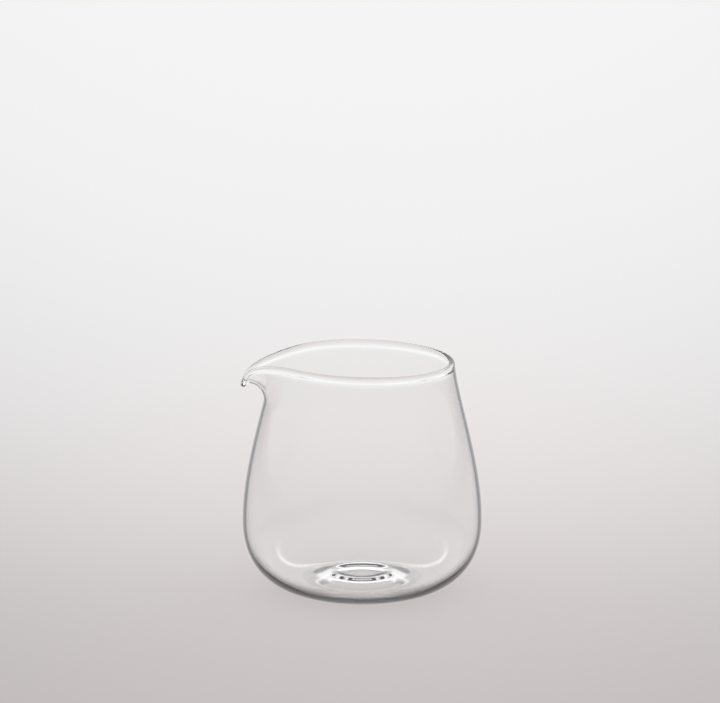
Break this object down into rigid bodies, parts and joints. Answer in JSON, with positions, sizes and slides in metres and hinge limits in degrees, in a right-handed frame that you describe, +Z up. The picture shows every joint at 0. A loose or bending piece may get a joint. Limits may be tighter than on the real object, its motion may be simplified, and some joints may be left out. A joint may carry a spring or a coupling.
{
  "type": "glass cream jug",
  "caption": "Clear blown-glass cream jug with a rounded belly, a narrower bead-edged mouth, a drawn pouring lip and a pushed-up foot; no handle, empty.",
  "frame": {"origin": "centre of the foot, on the surface that the jug stands on", "axes": "+Z up; the pouring lip points to -X; the jug is symmetric across the XZ plane"},
  "size_m": [0.0885, 0.088, 0.0871],
  "materials": {
    "clear_glass": "clear colourless blown glass, polished, fire-polished rim"
  },
  "bodies": {
    "root": {"jug": "clear_glass"}
  },
  "joints": []
}
